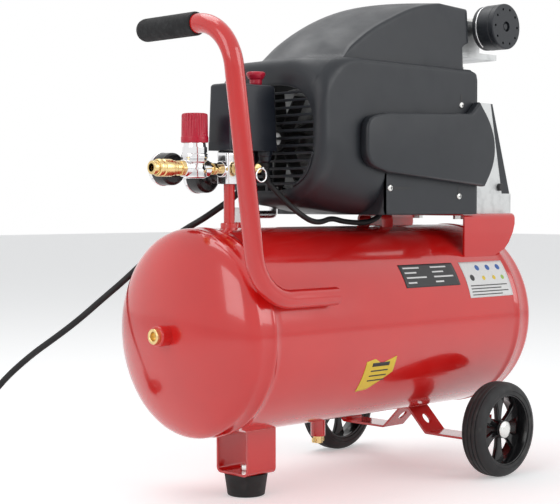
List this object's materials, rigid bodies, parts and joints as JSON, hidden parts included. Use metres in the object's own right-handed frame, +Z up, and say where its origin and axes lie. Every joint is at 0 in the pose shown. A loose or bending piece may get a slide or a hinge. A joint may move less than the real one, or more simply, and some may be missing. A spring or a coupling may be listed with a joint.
{
  "type": "wheelbarrow air compressor",
  "caption": "Portable air compressor: red 24 litre tank on two wheels and a foot, direct-drive pump under a grey shroud, pressure switch, regulator and pull handle.",
  "frame": {"origin": "on the floor, under the middle of the machine", "axes": "+Z up, +X towards the wheels, -X towards the handle, handle tube on the -Y side"},
  "size_m": [0.7842, 0.6382, 0.634],
  "materials": {
    "red_gloss": "gloss enamel",
    "zinc": "zinc plated",
    "black_rubber": "matt",
    "tyre_rubber": "matt ribbed",
    "hub_black": "gloss",
    "brass": "turned",
    "chrome": "polished",
    "knob_red": "satin",
    "gauge_black": "satin",
    "dial_white": "printed",
    "lens": "clear",
    "switch_grey": "satin",
    "cast_aluminium": "cast",
    "steel": "machined",
    "fan_plastic": "moulded",
    "shroud_grey": "fine texture",
    "cord_black": "smooth"
  },
  "bodies": {
    "compressor": {"axle_bracket": "red_gloss", "bearings": "steel", "cable_glands": "switch_grey", "chassis_fasteners": "zinc", "check_valve": "brass", "cord_coil": "cord_black", "coupler_body": "brass", "crankcase": "cast_aluminium", "crankcase_cover": "cast_aluminium", "cylinder": "cast_aluminium", "cylinder_head": "cast_aluminium", "discharge_pipe": "cast_aluminium", "filter_cap": "shroud_grey", "filter_clip": "chrome", "filter_housing": "shroud_grey", "foot_bracket": "red_gloss", "gauge_cases": "gauge_black", "gauge_dials": "dial_white", "gauge_lenses": "lens", "handle_grip": "black_rubber", "handle_tube": "red_gloss", "manifold": "chrome", "motor_lead": "cord_black", "motor_shields": "cast_aluminium", "power_cord": "cord_black", "power_plug": "cord_black", "pump_bolts": "zinc", "pump_bracket_front": "red_gloss", "pump_bracket_rear": "red_gloss", "regulator_body": "chrome", "regulator_bonnet": "chrome", "regulator_nipple": "brass", "riser_post": "red_gloss", "rubber_foot": "black_rubber", "safety_valve_body": "brass", "shroud": "shroud_grey", "shroud_screws": "zinc", "stator": "steel", "switch_base": "switch_grey", "switch_cover": "switch_grey", "tank_head_front": "red_gloss", "tank_head_rear": "red_gloss", "tank_plug": "zinc", "tank_shell": "red_gloss", "tank_sockets": "red_gloss"},
    "wheel_near": {"tyre_near": "tyre_rubber", "wheel_hub_near": "hub_black"},
    "wheel_far": {"tyre_far": "tyre_rubber", "wheel_hub_far": "hub_black"},
    "drain_screw": {"drain_screw": "brass"},
    "regulator_knob": {"regulator_knob": "knob_red"},
    "coupler_sleeve": {"coupler_sleeve": "brass"},
    "gauge_pointer_outlet": {"gauge_pointer_outlet": "gauge_black"},
    "gauge_pointer_tank": {"gauge_pointer_tank": "gauge_black"},
    "switch_knob": {"switch_knob": "knob_red"},
    "safety_ring": {"safety_ring": "chrome"},
    "crankshaft": {"crankshaft": "steel", "rotor": "steel", "cooling_fan": "fan_plastic"},
    "piston": {"piston": "cast_aluminium"}
  },
  "joints": [
    {"name": "wheel_near_spin", "type": "hinge", "parent": "compressor", "child": "wheel_near", "pos_m": [0.17133, 0, 0.0625], "axis": [0, 1, 0], "continuous": true},
    {"name": "wheel_far_spin", "type": "hinge", "parent": "compressor", "child": "wheel_far", "pos_m": [0.17133, 0, 0.0625], "axis": [0, 1, 0], "continuous": true},
    {"name": "drain_screw_turn", "type": "hinge", "parent": "compressor", "child": "drain_screw", "pos_m": [-0.01917, 0, 0.058], "axis": [0, 0, 1], "range_deg": [-360, 0]},
    {"name": "regulator_knob_turn", "type": "hinge", "parent": "compressor", "child": "regulator_knob", "pos_m": [-0.22867, 0, 0.426], "axis": [0, 0, 1], "range_deg": [-720, 720]},
    {"name": "coupler_sleeve_slide", "type": "slide", "parent": "compressor", "child": "coupler_sleeve", "axis": [1, 0, 0], "range_m": [0, 0.003]},
    {"name": "gauge_pointer_outlet_turn", "type": "hinge", "parent": "compressor", "child": "gauge_pointer_outlet", "pos_m": [-0.22867, 0.055, 0.401], "axis": [0, 1, 0], "range_deg": [0, 270]},
    {"name": "gauge_pointer_tank_turn", "type": "hinge", "parent": "compressor", "child": "gauge_pointer_tank", "pos_m": [-0.17367, 0.055, 0.392], "axis": [0, 1, 0], "range_deg": [0, 270]},
    {"name": "switch_knob_press", "type": "slide", "parent": "compressor", "child": "switch_knob", "axis": [0, 0, 1], "range_m": [-0.006, 0]},
    {"name": "safety_ring_pull", "type": "slide", "parent": "compressor", "child": "safety_ring", "axis": [0, -1, 0], "range_m": [0, 0.003]},
    {"name": "crankshaft_spin", "type": "hinge", "parent": "compressor", "child": "crankshaft", "pos_m": [0.21233, 0, 0.44], "axis": [1, 0, 0], "continuous": true},
    {"name": "piston_stroke", "type": "slide", "parent": "compressor", "child": "piston", "axis": [0, 0, 1], "range_m": [-0.036, 0]}
  ]
}
